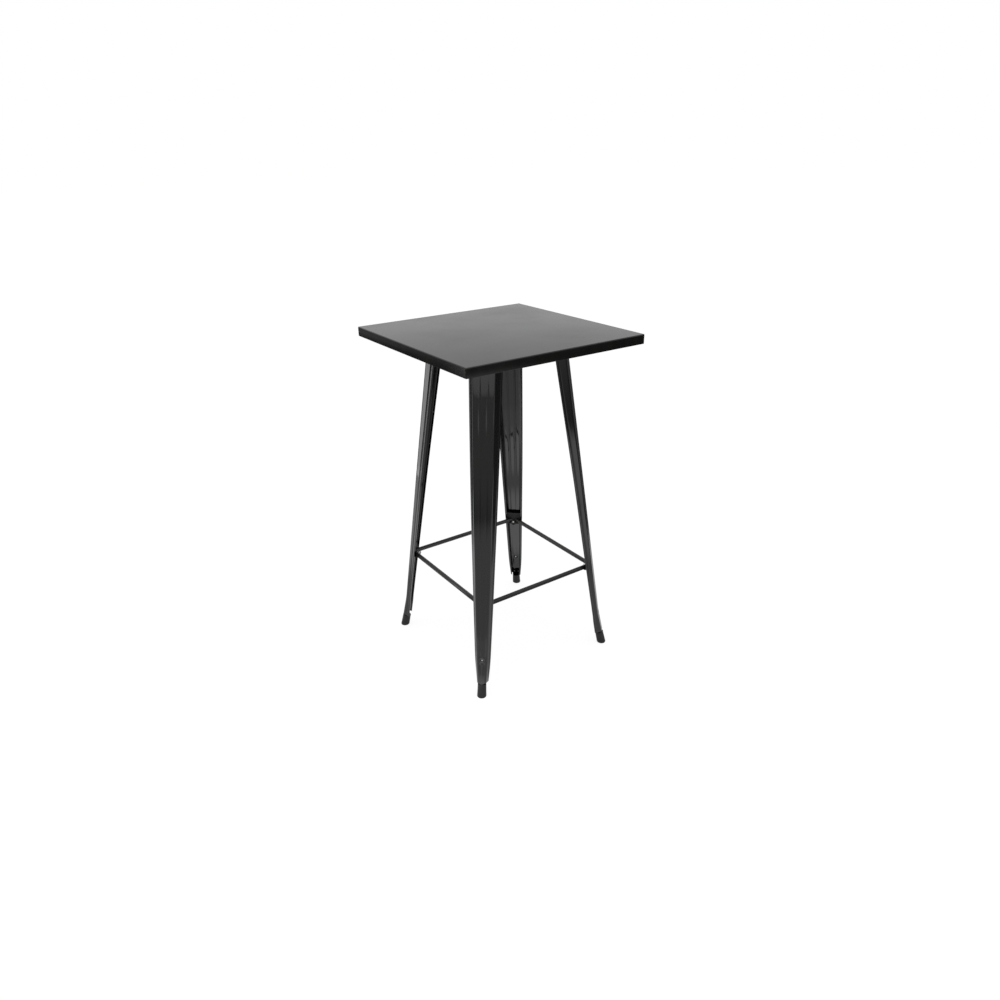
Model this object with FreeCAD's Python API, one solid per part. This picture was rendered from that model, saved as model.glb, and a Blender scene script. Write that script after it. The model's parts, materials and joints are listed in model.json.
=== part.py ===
"""A square pub table of pressed and painted sheet steel.

Four tapered channel legs stand on the diagonals of a folded square top. Each leg is one pressed
sheet: a fluted front face, two flanks that end in turned lips, and a foot rolled to a half pipe
that stands in a rubber cap. The legs are welded to an X of hat section rails under the top, and
a ring of four round rods, bolted to a bracket in every leg, ties them together as a footrest.

Millimetres, +Z up, the origin on the floor under the middle of the top, sides along X and Y.
Parts of one corner are drawn on the +X side, where X runs out along the table's diagonal, and
are then turned to their corner.
"""
import FreeCAD, Part
import math
import os

Vector = FreeCAD.Vector

# Overall
TABLE_HEIGHT = 1050.0
TOP_SIDE = 600.0

# Top: one folded sheet with a skirt and an inward return
TOP_SHEET = 1.2
SKIRT_DEPTH = 28.0
RETURN_WIDTH = 14.0
TOP_CORNER_RADIUS = 3.0
MITRE_SLIT = 1.0

# Rails: hat section, crown down, welded to the underside of the top
RAIL_SHEET = 2.0
RAIL_HEIGHT = 22.0
RAIL_CROWN_WIDTH = 64.0
RAIL_FLANGE_WIDTH = 14.0
RAIL_REACH = 345.0
WELD_GAP = 0.3

# Leg sheet, measured on the outer skin of the front face
LEG_SHEET = 1.2
LEG_TOP_REACH = 201.5
LEG_TOP_WIDTH = 98.0
LEG_TOP_DEPTH = 31.0
LEG_BOW = 2.9
FLANK_HOLLOW = 2.0
FLANK_SPLAY = 26.5
ANKLE_HEIGHT = 120.0
ANKLE_WIDTH = 47.4
ANKLE_DEPTH = 17.5
ANKLE_BEND_RADIUS = 300.0
SHOULDER_HEIGHT = 52.0
SHOULDER_WIDTH = 35.0
SHOULDER_DEPTH = 23.0
SHOULDER_FACE = 26.0
FACE_CORNER_RADIUS = 6.0
TOP_FLUTE_SPACING = 24.0
ANKLE_FLUTE_SPACING = 14.0
SHOULDER_FLUTE_SPACING = 9.0
FLUTE_WIDTH = 5.0
FLUTE_DEPTH = 1.2
EDGE_FLUTE_INSET = 9.5
LIP_WIDTH = 6.0
SHOULDER_LIP_WIDTH = 4.0

# Foot: the sheet rolled to a half pipe, in a rubber cap
FOOT_SPACING = 489.0
FOOT_LEAN = 12.7
FOOT_PIPE_DIAMETER = 23.0
FOOT_PIPE_WRAP = 220.0
FOOT_PIPE_START = 45.0
CAP_HEIGHT = 41.5
CAP_TOP_DIAMETER = 26.6
CAP_BOTTOM_DIAMETER = 28.8
CAP_SOLE = 8.0
CAP_CLEARANCE = 0.3

# Hole in the ankle
ANKLE_HOLE_DIAMETER = 5.5

# Bracket that carries the footrest in each leg: how far its web stands behind the leg's ridge
BRACKET_SHEET = 2.5
BRACKET_HEIGHT = 37.0
BRACKET_SETBACK = 17.6
BRACKET_CLEARANCE = 0.2
SHELF_WIDTH = 44.0
SHELF_LENGTH = 13.4
SHELF_NOSE = 5.0

# Footrest ring: its rods' centre lines cross behind the leg's ridge, and the rest is set from the web
FOOTREST_HEIGHT = 295.0
RING_SETBACK = 7.1
ROD_DIAMETER = 14.0
ROD_WELD_GAP = 0.3
CORNER_PLATE = 3.0
CORNER_PLATE_LENGTH = 13.4
CORNER_PLATE_NOSE = 4.0
CORNER_PLATE_GAP = 0.3
FOOTREST_BOLT_SETBACK = 8.4

# Plate that closes the top of each leg, welded to it and to a rail
LEG_PLATE = 3.0
LEG_PLATE_MARGIN = 1.5
LEG_PLATE_TONGUE = 45.0

# M6 fasteners
BOLT_DIAMETER = 6.0
BOLT_HOLE_DIAMETER = 6.6
HEX_ACROSS_FLATS = 10.0
HEX_HEAD_HEIGHT = 4.0
HEX_NUT_HEIGHT = 5.2
BOLT_POINT = 2.0
THREAD_GAP = 0.3

# Heights and places that follow from the sizes above
PAN_INSIDE = TABLE_HEIGHT - TOP_SHEET
RAIL_CROWN = PAN_INSIDE - RAIL_HEIGHT
LEG_TOP = RAIL_CROWN - LEG_PLATE
FOOT_REACH = FOOT_SPACING / math.sqrt(2)
FOOT_ANGLE = math.radians(FOOT_LEAN)
RIDGE_AT_FLOOR = FOOT_REACH + FOOT_PIPE_DIAMETER / 2 / math.cos(FOOT_ANGLE)
ANKLE_REACH = RIDGE_AT_FLOOR - ANKLE_HEIGHT * math.tan(FOOT_ANGLE)
LEG_ANGLE = math.atan2(ANKLE_REACH - LEG_TOP_REACH, LEG_TOP - ANKLE_HEIGHT)
FOOTREST_RIDGE = ANKLE_REACH - (FOOTREST_HEIGHT - ANKLE_HEIGHT) * math.tan(LEG_ANGLE)
BRACKET_REACH = FOOTREST_RIDGE - BRACKET_SETBACK
FOOTREST_BOLT_REACH = BRACKET_REACH - FOOTREST_BOLT_SETBACK
RING_CORNER = FOOTREST_RIDGE - RING_SETBACK
FOOTREST_SPACING = RING_CORNER * math.sqrt(2)
ROD_RADIUS = ROD_DIAMETER / 2
SHELF_TOP = FOOTREST_HEIGHT - ROD_RADIUS - ROD_WELD_GAP
CORNER_PLATE_TOP = SHELF_TOP + CORNER_PLATE
LEG_LENGTH = (LEG_TOP - ANKLE_HEIGHT) / math.cos(LEG_ANGLE)
ANKLE_TANGENT = ANKLE_BEND_RADIUS * math.tan((FOOT_ANGLE - LEG_ANGLE) / 2)
LEG_STATIONS = (ANKLE_TANGENT / LEG_LENGTH, 0.5)
CORNERS = {"front_left": 225, "front_right": 315, "back_right": 45, "back_left": 135}
SIDES = {"front": 0, "right": 90, "back": 180, "left": 270}
UP = Vector(0, 0, 1)


# Sheet metal helpers

def turn_between(before, corner, after):
    """The signed turn of a polyline at a corner, positive to the left."""
    first = math.atan2(corner[1] - before[1], corner[0] - before[0])
    second = math.atan2(after[1] - corner[1], after[0] - corner[0])
    return (second - first + math.pi) % (2 * math.pi) - math.pi


def moved_sideways(points, distance):
    """An open polyline moved to its left by a distance, corner by corner."""
    moved = []
    for i, (u, v) in enumerate(points):
        before = points[max(i - 1, 0)]
        after = points[min(i + 1, len(points) - 1)]
        inward = i if i > 0 else 1
        heading = math.atan2(points[inward][1] - points[inward - 1][1],
                             points[inward][0] - points[inward - 1][0])
        half_turn = 0.0
        if 0 < i < len(points) - 1:
            half_turn = turn_between(before, (u, v), after) / 2
        reach = distance / math.cos(half_turn)
        side = heading + half_turn + math.pi / 2
        moved.append((u + reach * math.cos(side), v + reach * math.sin(side)))
    return moved


def rounded_edges(points, radii, place):
    """The edges of an open polyline whose corners are rounded by tangent arcs, or sharp at radius 0."""
    edges = []
    start = points[0]
    for i in range(1, len(points) - 1):
        corner = points[i]
        if radii[i] == 0:
            edges.append(Part.LineSegment(place(start), place(corner)).toShape())
            start = corner
            continue
        turn = turn_between(points[i - 1], corner, points[i + 1])
        setback = radii[i] * math.tan(abs(turn) / 2)
        heading_in = math.atan2(corner[1] - points[i - 1][1], corner[0] - points[i - 1][0])
        heading_out = heading_in + turn
        first = (corner[0] - setback * math.cos(heading_in), corner[1] - setback * math.sin(heading_in))
        last = (corner[0] + setback * math.cos(heading_out), corner[1] + setback * math.sin(heading_out))
        bisector = heading_in + turn / 2 + math.copysign(math.pi / 2, turn)
        rise = radii[i] / math.cos(turn / 2) - radii[i]
        crest = (corner[0] + rise * math.cos(bisector), corner[1] + rise * math.sin(bisector))
        edges.append(Part.LineSegment(place(start), place(first)).toShape())
        edges.append(Part.Arc(place(first), place(crest), place(last)).toShape())
        start = last
    edges.append(Part.LineSegment(place(start), place(points[-1])).toShape())
    return edges


def closed_section(skin, other_skin):
    """The closed wire of a sheet between two open skins that run opposite ways."""
    far_edge = Part.LineSegment(skin[-1].Vertexes[-1].Point, other_skin[0].Vertexes[0].Point).toShape()
    near_edge = Part.LineSegment(other_skin[-1].Vertexes[-1].Point, skin[0].Vertexes[0].Point).toShape()
    return Part.Wire(skin + [far_edge] + other_skin + [near_edge])


def sheet_wire(points, radii, thickness, place):
    """The closed section of a bent sheet: points run along one skin, the sheet lies to their left."""
    other = moved_sideways(points, thickness)
    other_radii = list(radii)
    for i in range(1, len(points) - 1):
        turn = turn_between(points[i - 1], points[i], points[i + 1])
        if radii[i] > 0:
            other_radii[i] = radii[i] - math.copysign(thickness, turn)
    skin = rounded_edges(points, radii, place)
    return closed_section(skin, rounded_edges(other[::-1], other_radii[::-1], place))


def arc_edges(radius, centre, angles, place):
    """Edges of an arc about (0, centre) between given angles; angle 0 points to -v and grows towards +u."""
    def at(angle):
        return place((radius * math.sin(angle), centre - radius * math.cos(angle)))
    return [Part.Arc(at(a), at((a + b) / 2), at(b)).toShape() for a, b in zip(angles, angles[1:])]


def polygon_prism(points, bottom, height):
    """An upright prism over a closed outline of (x, y) points."""
    corners = [Vector(x, y, bottom) for x, y in points]
    return Part.Face(Part.makePolygon(corners + corners[:1])).extrude(Vector(0, 0, height))


def hex_prism(across_flats, bottom, height, x, y):
    """An upright hexagonal prism about (x, y), with a flat on either side along X."""
    radius = across_flats / math.sqrt(3)
    angles = [math.radians(60 * i + 30) for i in range(6)]
    outline = [(x + radius * math.cos(a), y + radius * math.sin(a)) for a in angles]
    return polygon_prism(outline, bottom, height)


def upright(diameter, bottom, height, x, y):
    """An upright cylinder about (x, y)."""
    return Part.makeCylinder(diameter / 2, height, Vector(x, y, bottom), UP)


def turned(shape, angle):
    """A copy of a shape turned about the table's upright axis."""
    copy = shape.copy()
    copy.rotate(Vector(0, 0, 0), UP, angle)
    return copy


# Top

def make_top_pan():
    """The folded top: a flat sheet, four skirts and a return round the bottom edge."""
    half = TOP_SIDE / 2
    bottom = TABLE_HEIGHT - SKIRT_DEPTH
    block = Part.makeBox(TOP_SIDE, TOP_SIDE, SKIRT_DEPTH, Vector(-half, -half, bottom))
    bends = [e for e in block.Edges if is_upright(e) or lies_at(e, TABLE_HEIGHT)]
    block = block.makeFillet(TOP_CORNER_RADIUS, bends)
    inside = half - TOP_SHEET
    hollow_depth = SKIRT_DEPTH - 2 * TOP_SHEET
    hollow = Part.makeBox(2 * inside, 2 * inside, hollow_depth, Vector(-inside, -inside, bottom + TOP_SHEET))
    hollow = hollow.makeFillet(TOP_CORNER_RADIUS - TOP_SHEET, [e for e in hollow.Edges if is_upright(e)])
    opening = half - RETURN_WIDTH
    mouth = Part.makeBox(2 * opening, 2 * opening, 2 * TOP_SHEET,
                         Vector(-opening, -opening, bottom - TOP_SHEET))
    pan = block.cut(hollow).cut(mouth)
    for angle in CORNERS.values():
        pan = pan.cut(turned(mitre_slit(bottom), angle))
    return pan


def is_upright(edge):
    """Whether a straight edge runs along Z."""
    box = edge.BoundBox
    return box.XLength < 1e-6 and box.YLength < 1e-6


def lies_at(edge, height):
    """Whether a whole edge lies at a height."""
    box = edge.BoundBox
    return abs(box.ZMin - height) < 1e-6 and abs(box.ZMax - height) < 1e-6


def mitre_slit(bottom):
    """The slit between two returns at a corner of the top."""
    inner = (TOP_SIDE / 2 - RETURN_WIDTH) * math.sqrt(2) - RETURN_WIDTH
    outer = (TOP_SIDE / 2 - TOP_SHEET - TOP_CORNER_RADIUS) * math.sqrt(2)
    return Part.makeBox(outer - inner, MITRE_SLIT, 2 * TOP_SHEET,
                        Vector(inner, -MITRE_SLIT / 2, bottom - TOP_SHEET))


# Rails

def rail_profile(start):
    """The hat section's face, with the crown down, at a distance along the diagonal."""
    crown = RAIL_CROWN_WIDTH / 2
    flange = crown + RAIL_FLANGE_WIDTH
    seat = PAN_INSIDE - RAIL_SHEET
    half = [(crown, RAIL_CROWN), (crown, seat), (flange, seat)]
    points = [(-y, z) for y, z in half[::-1]] + half
    return Part.Face(sheet_wire(points, [0] * len(points), RAIL_SHEET, lambda p: Vector(start, p[0], p[1])))


def make_long_rail():
    """The rail that runs unbroken from corner to corner."""
    return rail_profile(-RAIL_REACH).extrude(Vector(2 * RAIL_REACH, 0, 0))


def make_half_rail():
    """A rail from the long rail's side to one corner, its flanges cut back to clear the long rail's."""
    side = RAIL_CROWN_WIDTH / 2 + WELD_GAP
    rail = rail_profile(side).extrude(Vector(RAIL_REACH - side, 0, 0))
    flange_reach = RAIL_CROWN_WIDTH / 2 + RAIL_FLANGE_WIDTH + WELD_GAP
    notch_height = 2 * RAIL_SHEET
    width = 2 * (RAIL_CROWN_WIDTH + RAIL_FLANGE_WIDTH)
    notch = Part.makeBox(flange_reach - side, width, notch_height,
                         Vector(side, -width / 2, PAN_INSIDE - notch_height))
    return rail.cut(notch)


# Legs

def between(low, high, share):
    """The value a share of the way from low to high."""
    return low + (high - low) * share


def leg_outline(width, depth, face, flute_spacing, flute_depth, lip):
    """Half a leg section on its outer skin, from the middle of the face to the lip, with its radii."""
    half_face = face / 2
    half_flute = FLUTE_WIDTH / 2
    flute = flute_spacing / 2
    splay = math.atan2(width / 2 - half_face, depth)
    points = [(flute - half_flute, 0), (flute, flute_depth), (flute + half_flute, 0), (half_face, 0)]
    for back, sink in ((half_flute, 0), (0, flute_depth), (-half_flute, 0)):
        back += EDGE_FLUTE_INSET
        u = width / 2 - back * math.sin(splay) - sink * math.cos(splay)
        points.append((u, depth - back * math.cos(splay) + sink * math.sin(splay)))
    points += [(width / 2, depth), (width / 2 - lip, depth)]
    return points, [0, 0, 0, FACE_CORNER_RADIUS, 0, 0, 0, 0, 0]


def pipe_section(lengths, place):
    """The closed wire of the rolled foot, each skin in edges that share it out as the lengths do."""
    radius = FOOT_PIPE_DIAMETER / 2
    wrap = math.radians(FOOT_PIPE_WRAP)
    angles = [wrap * (sum(lengths[:i]) / sum(lengths) - 0.5) for i in range(len(lengths) + 1)]
    skin = arc_edges(radius, radius, angles, place)
    other_skin = arc_edges(radius - LEG_SHEET, radius, angles[::-1], place)
    return closed_section(skin, other_skin)


def both_halves(points, radii):
    """A half section joined to its mirror image."""
    mirrored = [(-u, v) for u, v in points]
    return mirrored[::-1] + points, radii[::-1] + radii


def on_ridge(origin, lean):
    """The map from section coordinates to space, for a section square to the leg's ridge."""
    inward = Vector(-math.cos(lean), 0, -math.sin(lean))
    return lambda p: origin + Vector(0, p[0], 0) + inward * p[1]


def top_place(p):
    """The map from section coordinates to the leg's level top edge."""
    return Vector(LEG_TOP_REACH - p[1] / math.cos(LEG_ANGLE), p[0], LEG_TOP)


def upper_place(distance):
    """The ridge point a distance up the straight leg from the ankle, and the lean there."""
    along = Vector(-math.sin(LEG_ANGLE), 0, math.cos(LEG_ANGLE))
    return on_ridge(Vector(ANKLE_REACH, 0, ANKLE_HEIGHT) + along * distance, LEG_ANGLE)


def lower_place(distance):
    """The ridge point a distance down the foot from the ankle, and the lean there."""
    along = Vector(math.sin(FOOT_ANGLE), 0, -math.cos(FOOT_ANGLE))
    return on_ridge(Vector(ANKLE_REACH, 0, ANKLE_HEIGHT) + along * distance, FOOT_ANGLE)


def face_width(width, depth):
    """The width of a section's face, with the flanks at their usual splay."""
    return width - 2 * depth * math.tan(math.radians(FLANK_SPLAY))


def upper_outline(share):
    """The leg section a share of the way up from the ankle to the top."""
    width = between(ANKLE_WIDTH, LEG_TOP_WIDTH, share) + 8 * LEG_BOW * share * (1 - share)
    depth = between(ANKLE_DEPTH, LEG_TOP_DEPTH, share) - 4 * FLANK_HOLLOW * share * (1 - share)
    flute_spacing = between(ANKLE_FLUTE_SPACING, TOP_FLUTE_SPACING, share)
    return leg_outline(width, depth, face_width(width, depth), flute_spacing, FLUTE_DEPTH, LIP_WIDTH)


def lower_outline(share):
    """The leg section a share of the way down from the ankle to the shoulder, its flutes fading out."""
    width = between(ANKLE_WIDTH, SHOULDER_WIDTH, share)
    depth = between(ANKLE_DEPTH, SHOULDER_DEPTH, share)
    face = between(face_width(ANKLE_WIDTH, ANKLE_DEPTH), SHOULDER_FACE, share)
    flute_spacing = between(ANKLE_FLUTE_SPACING, SHOULDER_FLUTE_SPACING, share)
    lip = between(LIP_WIDTH, SHOULDER_LIP_WIDTH, share)
    return leg_outline(width, depth, face, flute_spacing, between(FLUTE_DEPTH, 0, share), lip)


def leg_section(outline, place):
    """The closed wire of a leg section."""
    points, radii = both_halves(*outline)
    return sheet_wire(points, radii, LEG_SHEET, place)


def down_to(height):
    """The distance down the foot from the ankle to a height."""
    return (ANKLE_HEIGHT - height) / math.cos(FOOT_ANGLE)


def loft_channel():
    """The fluted channel from the shoulder to the level top edge, with a bend at the ankle."""
    shoulder = down_to(SHOULDER_HEIGHT)
    sections = [leg_section(lower_outline(s), lower_place(s * shoulder))
                for s in (1, ANKLE_TANGENT / shoulder)]
    sections += [leg_section(upper_outline(s), upper_place(s * LEG_LENGTH)) for s in LEG_STATIONS]
    sections.append(leg_section(upper_outline(1), top_place))
    return Part.makeLoft(sections, True, True)


def loft_foot():
    """The rolled foot: the face and corners of the sheet run on below the flanks into a half pipe."""
    points, radii = lower_outline(1)
    points, radii = both_halves(points[:5], radii[:5])
    place = lower_place(down_to(SHOULDER_HEIGHT))
    lengths = [edge.Length for edge in rounded_edges(points, radii, place)]
    sections = [sheet_wire(points, radii, LEG_SHEET, place)]
    sole = CAP_SOLE * math.cos(FOOT_ANGLE) + FOOT_PIPE_DIAMETER / 2 * math.sin(FOOT_ANGLE)
    sections += [pipe_section(lengths, lower_place(down_to(z))) for z in (FOOT_PIPE_START, sole)]
    return Part.makeLoft(sections, True, True)


def ankle_hole():
    """The bar that is cut through the face at the ankle, square to the face."""
    lean = (LEG_ANGLE + FOOT_ANGLE) / 2
    outward = Vector(math.cos(lean), 0, math.sin(lean))
    start = Vector(ANKLE_REACH, 0, ANKLE_HEIGHT) - outward * ANKLE_DEPTH / 2
    return Part.makeCylinder(ANKLE_HOLE_DIAMETER / 2, ANKLE_DEPTH, start, outward)


def make_leg():
    """One pressed leg, with its ankle hole."""
    return loft_channel().fuse(loft_foot()).cut(ankle_hole()).Solids[0]


def channel_core():
    """The space inside the lower half of a leg's channel and on out between the lips, clear of the sheet."""
    rings = []
    for share in LEG_STATIONS:
        points, _ = both_halves(*upper_outline(share))
        inner = moved_sideways(points, LEG_SHEET + BRACKET_CLEARANCE)
        mouth, back = inner[-1][0] - BRACKET_CLEARANCE, inner[-1][1]
        behind = back + ANKLE_DEPTH
        ring = [(-mouth, behind), (-mouth, back)] + inner[1:-1] + [(mouth, back), (mouth, behind)]
        place = upper_place(share * LEG_LENGTH)
        rings.append(Part.makePolygon([place(p) for p in ring + ring[:1]]))
    return Part.makeLoft(rings, True, True)


def make_leg_plate():
    """The plate on top of a leg: as wide as the channel, with a tongue along the rail."""
    front = LEG_TOP_REACH + LEG_PLATE_MARGIN
    back = LEG_TOP_REACH - LEG_TOP_DEPTH - LEG_PLATE_MARGIN
    end = back - LEG_PLATE_TONGUE
    face = face_width(LEG_TOP_WIDTH, LEG_TOP_DEPTH)
    half = [(front, face / 2 + LEG_PLATE_MARGIN), (back, LEG_TOP_WIDTH / 2 + LEG_PLATE_MARGIN),
            (end, RAIL_CROWN_WIDTH / 2)]
    outline = half + [(x, -y) for x, y in half[::-1]]
    return polygon_prism(outline, LEG_TOP, LEG_PLATE)


# Foot caps

def make_foot_cap():
    """The rubber cap: a tapered boot on the leaning pipe, its sole level on the floor."""
    centre = Vector(FOOT_REACH, 0, 0)
    axis = Vector(-math.sin(FOOT_ANGLE), 0, math.cos(FOOT_ANGLE))
    rings = [Part.makeCircle(CAP_BOTTOM_DIAMETER / 2, centre),
             Part.makeCircle(CAP_TOP_DIAMETER / 2, centre + axis * CAP_HEIGHT, axis)]
    boot = Part.makeLoft([Part.Wire(ring) for ring in rings], True, True)
    bore = FOOT_PIPE_DIAMETER / 2 + CAP_CLEARANCE
    return boot.cut(Part.makeCylinder(bore, CAP_HEIGHT, centre + axis * CAP_SOLE, axis))


# Footrest

def make_rod():
    """The front footrest rod, its ends cut to sit flat on the brackets."""
    length = 2 * FOOTREST_SPACING
    rod = Part.makeCylinder(ROD_RADIUS, length, Vector(-length / 2, -FOOTREST_SPACING / 2, FOOTREST_HEIGHT),
                            Vector(1, 0, 0))
    bay = Part.makeBox(2 * BRACKET_REACH, 2 * BRACKET_REACH, 2 * ROD_DIAMETER,
                       Vector(-BRACKET_REACH, -BRACKET_REACH, FOOTREST_HEIGHT - ROD_DIAMETER))
    return rod.common(turned(bay, 45))


def nosed_plate(back, back_half, shoulder, shoulder_half, nose, bottom, height):
    """An upright plate, mirrored about X: a straight back, shoulders, a blunt nose and the bolt hole."""
    outline = [(back, back_half), (shoulder, shoulder_half), (nose, shoulder_half / 2)]
    outline += [(x, -y) for x, y in outline[::-1]]
    plate = polygon_prism(outline, bottom, height)
    return plate.cut(upright(BOLT_HOLE_DIAMETER, bottom, height, FOOTREST_BOLT_REACH, 0))


def make_corner_plate():
    """The plate welded between two rods, which the footrest bolt passes through."""
    drop = CORNER_PLATE_TOP - FOOTREST_HEIGHT
    rod_half = math.sqrt(ROD_RADIUS ** 2 - drop ** 2) + ROD_WELD_GAP
    side = RING_CORNER - rod_half * math.sqrt(2)
    back = BRACKET_REACH - CORNER_PLATE_GAP
    nose = BRACKET_REACH - CORNER_PLATE_LENGTH
    shoulder = nose + CORNER_PLATE_NOSE
    return nosed_plate(back, side - back, shoulder, side - shoulder, nose, SHELF_TOP, CORNER_PLATE)


def make_bracket():
    """The angle bracket in a leg: an upright web across the channel and a shelf for the footrest."""
    bottom = SHELF_TOP - BRACKET_SHEET
    corner = Vector(BRACKET_REACH, -LEG_TOP_WIDTH / 2, bottom)
    web = Part.makeBox(BRACKET_SHEET, LEG_TOP_WIDTH, BRACKET_HEIGHT, corner).common(channel_core())
    half = SHELF_WIDTH / 2
    nose = BRACKET_REACH - SHELF_LENGTH
    shelf = nosed_plate(BRACKET_REACH, half, nose + SHELF_NOSE, half, nose, bottom, BRACKET_SHEET)
    return web.fuse(shelf)


# Fasteners

def make_bolt():
    """The hexagon bolt through a corner plate and its bracket, head up."""
    length = CORNER_PLATE + BRACKET_SHEET + HEX_NUT_HEIGHT + BOLT_POINT
    shank = upright(BOLT_DIAMETER, CORNER_PLATE_TOP - length, length, FOOTREST_BOLT_REACH, 0)
    head = hex_prism(HEX_ACROSS_FLATS, CORNER_PLATE_TOP, HEX_HEAD_HEIGHT, FOOTREST_BOLT_REACH, 0)
    return shank.fuse(head)


def make_nut():
    """The nut under a bracket's shelf."""
    bottom = SHELF_TOP - BRACKET_SHEET - HEX_NUT_HEIGHT
    nut = hex_prism(HEX_ACROSS_FLATS, bottom, HEX_NUT_HEIGHT, FOOTREST_BOLT_REACH, 0)
    return nut.cut(upright(BOLT_DIAMETER + 2 * THREAD_GAP, bottom, HEX_NUT_HEIGHT, FOOTREST_BOLT_REACH, 0))


def at_every_corner(shape):
    """Copies of a shape at all four corners, as one group of separate solids."""
    return Part.makeCompound([turned(shape, angle) for angle in CORNERS.values()])


# Assembly

def make_parts():
    """Every node's shape by name."""
    parts = {"top_pan": make_top_pan()}
    parts["top_rail_long"] = turned(make_long_rail(), CORNERS["back_right"])
    for corner in ("front_right", "back_left"):
        parts["top_rail_half_" + corner] = turned(make_half_rail(), CORNERS[corner])
    corner_pieces = {"leg": make_leg(), "leg_plate": make_leg_plate(),
                     "footrest_bracket": make_bracket(), "footrest_corner_plate": make_corner_plate()}
    for name, shape in corner_pieces.items():
        for corner, angle in CORNERS.items():
            parts[name + "_" + corner] = turned(shape, angle)
    rod = make_rod()
    for side, angle in SIDES.items():
        parts["footrest_rod_" + side] = turned(rod, angle)
    parts["footrest_bolts"] = at_every_corner(make_bolt())
    parts["footrest_nuts"] = at_every_corner(make_nut())
    parts["foot_caps"] = at_every_corner(make_foot_cap())
    return parts


os.makedirs("parts", exist_ok=True)
for node, shape in make_parts().items():
    shape.exportStep("parts/" + node + ".step")
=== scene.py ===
"""The looks of a square pub table of black painted pressed steel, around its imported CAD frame.

Metres, +Z up, the origin on the floor under the middle of the top. Sizes below are written in
millimetres and multiplied by MM. Pieces of one corner are drawn on the +X side, where X runs out
along the table's diagonal, and are then turned to their corner.
"""
import json
import math

import bmesh
import bpy
from mathutils import Matrix, Vector


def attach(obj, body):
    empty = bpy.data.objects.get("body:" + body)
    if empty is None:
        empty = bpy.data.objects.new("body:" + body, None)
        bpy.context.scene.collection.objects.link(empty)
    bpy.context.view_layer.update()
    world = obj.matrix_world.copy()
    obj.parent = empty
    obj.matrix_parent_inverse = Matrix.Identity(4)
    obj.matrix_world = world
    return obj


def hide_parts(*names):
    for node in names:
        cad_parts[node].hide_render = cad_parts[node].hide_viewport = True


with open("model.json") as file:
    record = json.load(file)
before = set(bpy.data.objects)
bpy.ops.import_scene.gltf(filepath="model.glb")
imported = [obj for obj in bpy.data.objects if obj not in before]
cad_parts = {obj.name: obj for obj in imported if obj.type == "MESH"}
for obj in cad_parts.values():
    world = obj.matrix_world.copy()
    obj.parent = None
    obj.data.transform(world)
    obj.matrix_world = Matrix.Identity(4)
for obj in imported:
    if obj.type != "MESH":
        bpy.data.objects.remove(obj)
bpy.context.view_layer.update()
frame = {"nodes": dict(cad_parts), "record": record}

# For all pieces; angles are in degrees where they aren't turned to radians
MM = 0.001
SAME_POINT = 0.01
ROUND_STEPS = 48
CIRCLE = [2 * math.pi * k / ROUND_STEPS for k in range(ROUND_STEPS)]
SMOOTH_ANGLE = 35
CAD_EDGE = 0.4
CAD_EDGE_ANGLE = 40
CORNERS = {"front_left": 225, "front_right": 315, "back_right": 45, "back_left": 135}
SIDES = {"front": 0, "right": 90, "back": 180, "left": 270}

# Top
TOP_HALF = 300.0
TOP_Z = 1050.0
TOP_SHEET = 1.2
SKIRT_DEPTH = 28.0
RETURN_WIDTH = 14.0
TOP_BEND = 3.0
RETURN_BEND = 1.6
MITRE_SLIT = 1.0
SLIT_REACH = 2.0
LEAST_CORNER = 0.02
TOP_CORNER_STEPS = 8
TOP_BEND_STEPS = 6

# Leg ridge
LEG_SHEET = 1.2
LEG_TOP_Z = 1023.8
LEG_TOP_REACH = 201.5
ANKLE_Z = 120.0
FOOT_SPACING = 489.0
FOOT_REACH = FOOT_SPACING / math.sqrt(2)
FOOT_ANGLE = math.radians(12.7)
PIPE_RADIUS = 11.5
PIPE_HALF_WRAP = math.radians(110)
RIDGE_AT_FLOOR = FOOT_REACH + PIPE_RADIUS / math.cos(FOOT_ANGLE)
ANKLE_REACH = RIDGE_AT_FLOOR - ANKLE_Z * math.tan(FOOT_ANGLE)
LEG_ANGLE = math.atan2(ANKLE_REACH - LEG_TOP_REACH, LEG_TOP_Z - ANKLE_Z)
LEG_LENGTH = (LEG_TOP_Z - ANKLE_Z) / math.cos(LEG_ANGLE)
BEND_TANGENT = 20.0
SHOULDER_Z = 48.0
PIPE_START_Z = 44.0
PIPE_END_Z = 12.0
SHOULDER = -(ANKLE_Z - SHOULDER_Z) / math.cos(FOOT_ANGLE)
PIPE_START = -(ANKLE_Z - PIPE_START_Z) / math.cos(FOOT_ANGLE)
PIPE_END = -(ANKLE_Z - PIPE_END_Z) / math.cos(FOOT_ANGLE)

# Leg section against the distance up the ridge from the ankle: (distance, size)
WIDTHS = [(SHOULDER, 35.6), (-50, 40.2), (-22, 45.6), (0, 49.0), (16, 50.6), (86, 55.4),
          (182, 61.8), (274, 67.4), (456, 78.4), (684, 89.0), (LEG_LENGTH, 98.0)]
DEPTHS = [(SHOULDER, 23.5), (-30, 20.4), (0, 17.7), (20, 17.5), (86, 18.2), (256, 20.2),
          (447, 22.0), (640, 25.6), (840, 29.8), (LEG_LENGTH, 31.0)]
FACES = [(SHOULDER, 26.0), (-30, 28.9), (0, 30.6), (86, 35.4), (182, 40.1), (456, 53.6),
         (684, 60.5), (LEG_LENGTH, 65.6)]
FLUTES = [(SHOULDER, 9.0), (-30, 11.6), (0, 14.0), (LEG_LENGTH, 24.0)]
FLUTE_DEPTHS = [(SHOULDER, 0.0), (-45, 0.1), (-10, 0.7), (LEG_LENGTH, 0.9)]
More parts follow.
